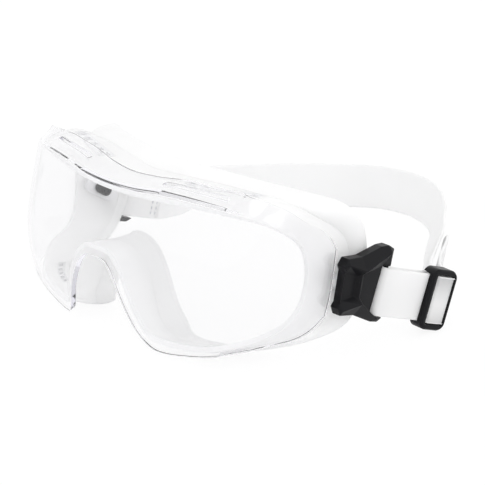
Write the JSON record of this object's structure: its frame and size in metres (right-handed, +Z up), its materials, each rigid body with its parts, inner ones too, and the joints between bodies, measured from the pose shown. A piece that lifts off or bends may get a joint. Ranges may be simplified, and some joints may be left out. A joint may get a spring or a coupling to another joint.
{
  "type": "protective goggles",
  "caption": "Wide-vision protective goggles: wrap-round clear lens in a vented soft frame with a face seal, swivelling buckles and a slotted-bar headband adjuster.",
  "frame": {"origin": "middle of the bounding box in plan, on the table that the goggles and their headband lie on", "axes": "+X to the wearer's left, +Y from the lens towards the back of the headband, +Z up"},
  "size_m": [0.1734, 0.2054, 0.0711],
  "materials": {
    "lens": "clear polished polycarbonate with a faint lilac tint",
    "frame": "translucent soft plastic, glossy",
    "seal": "milky translucent soft rubber, satin",
    "vent": "translucent moulded plastic",
    "black_plastic": "satin black moulded plastic",
    "band": "milky grey elastomer, satin",
    "thread": "polyester thread"
  },
  "bodies": {
    "goggle": {"lens": "lens", "frame": "frame", "face_seal": "seal", "upper_vent_left": "vent", "upper_vent_right": "vent", "lower_vent_left": "vent", "lower_vent_right": "vent", "pivot_clip_left": "black_plastic", "pivot_clip_right": "black_plastic"},
    "headband": {"buckle_left": "black_plastic", "buckle_right": "black_plastic", "headband": "band", "band_stitching": "thread"},
    "adjuster": {"slide_adjuster": "black_plastic"}
  },
  "joints": [
    {"name": "band_swivel", "type": "hinge", "parent": "goggle", "child": "headband", "pos_m": [-0.00057, -0.03865, 0.03067], "axis": [1, 0, 0], "range_deg": [-20, 40]},
    {"name": "adjuster_slide", "type": "slide", "parent": "headband", "child": "adjuster", "axis": [0.0658, 0.9415, -0.3305], "range_m": [-0.012, 0]}
  ]
}
